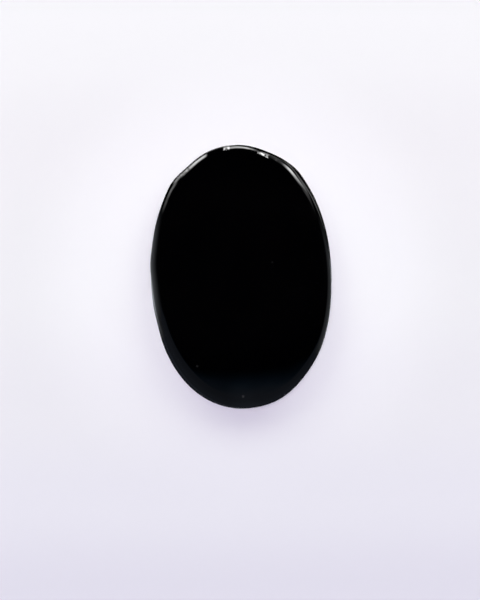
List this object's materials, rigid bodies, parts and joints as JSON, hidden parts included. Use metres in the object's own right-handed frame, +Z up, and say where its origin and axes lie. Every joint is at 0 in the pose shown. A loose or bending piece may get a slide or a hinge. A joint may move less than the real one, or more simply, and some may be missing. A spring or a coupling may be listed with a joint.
{
  "type": "black agate cabochon",
  "caption": "Oval cut and polished black agate with a flat back, a short leaning wall, a rounded shoulder and a low domed face, to rest loose or to set in jewellery.",
  "frame": {"origin": "middle of the flat back, on the surface that the stone rests on", "axes": "+Z up from the flat back to the domed face, +Y along the stone's length towards the end with the tighter shoulder, +X across its width"},
  "size_m": [0.015, 0.022, 0.005],
  "materials": {
    "polished_agate": "mirror polish on the face, shoulder and wall, fine-ground satin on the flat back"
  },
  "bodies": {
    "root": {"agate_cabochon": "polished_agate"}
  },
  "joints": []
}
